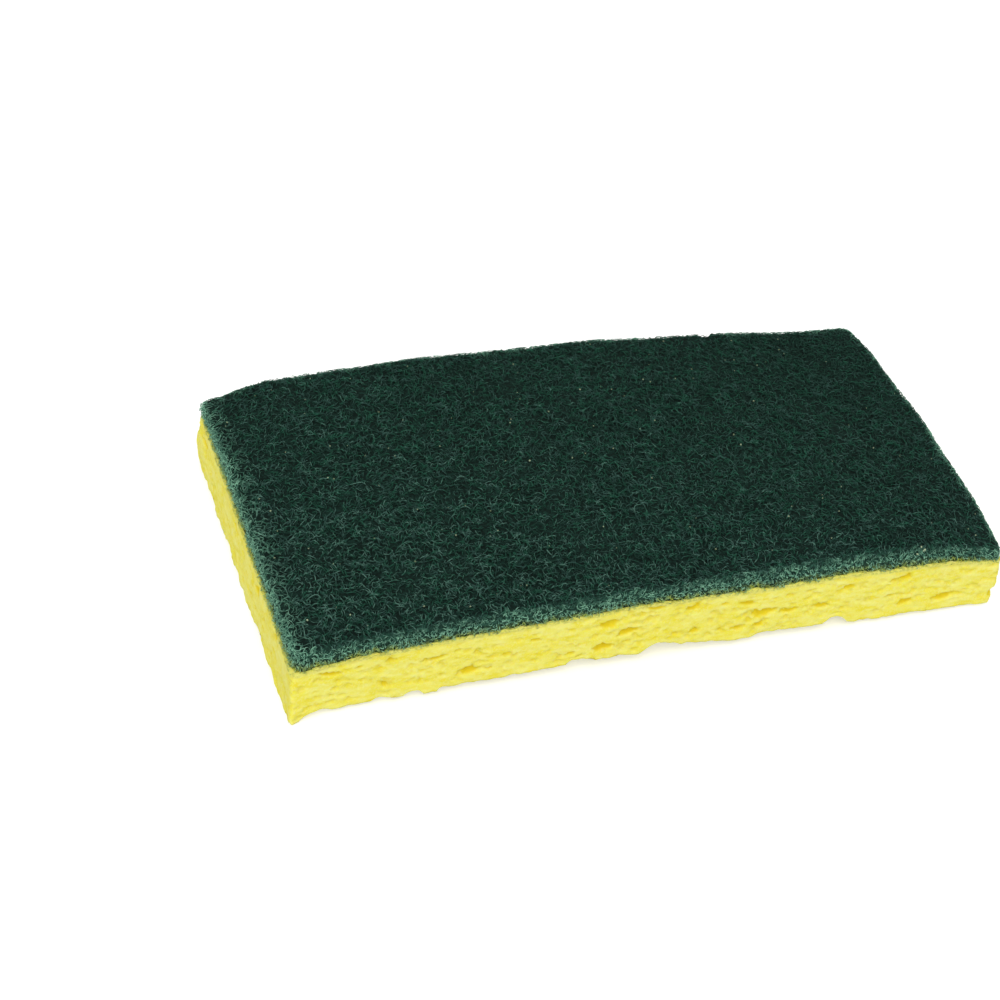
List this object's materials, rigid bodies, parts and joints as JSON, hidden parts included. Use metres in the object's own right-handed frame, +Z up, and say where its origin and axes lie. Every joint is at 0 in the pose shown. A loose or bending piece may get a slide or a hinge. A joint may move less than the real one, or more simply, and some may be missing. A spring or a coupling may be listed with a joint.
{
  "type": "cleaning sponge",
  "caption": "Rectangular scrub sponge: a layer of open-pored yellow cellulose sponge with a dark green scouring pad bonded over its top.",
  "frame": {"origin": "middle of the underside, at the level of the flat feet that it rests on", "axes": "+X along the length, +Y across the width from the front side to the back, +Z up through the scouring pad"},
  "size_m": [0.158, 0.082, 0.0216],
  "materials": {
    "cellulose": "lemon yellow cellulose sponge, matt, with open pores",
    "fibre_web": "dark green web of curled stiff fibres, matt"
  },
  "bodies": {
    "root": {"cellulose_sponge": "cellulose", "scouring_pad": "fibre_web"}
  },
  "joints": []
}
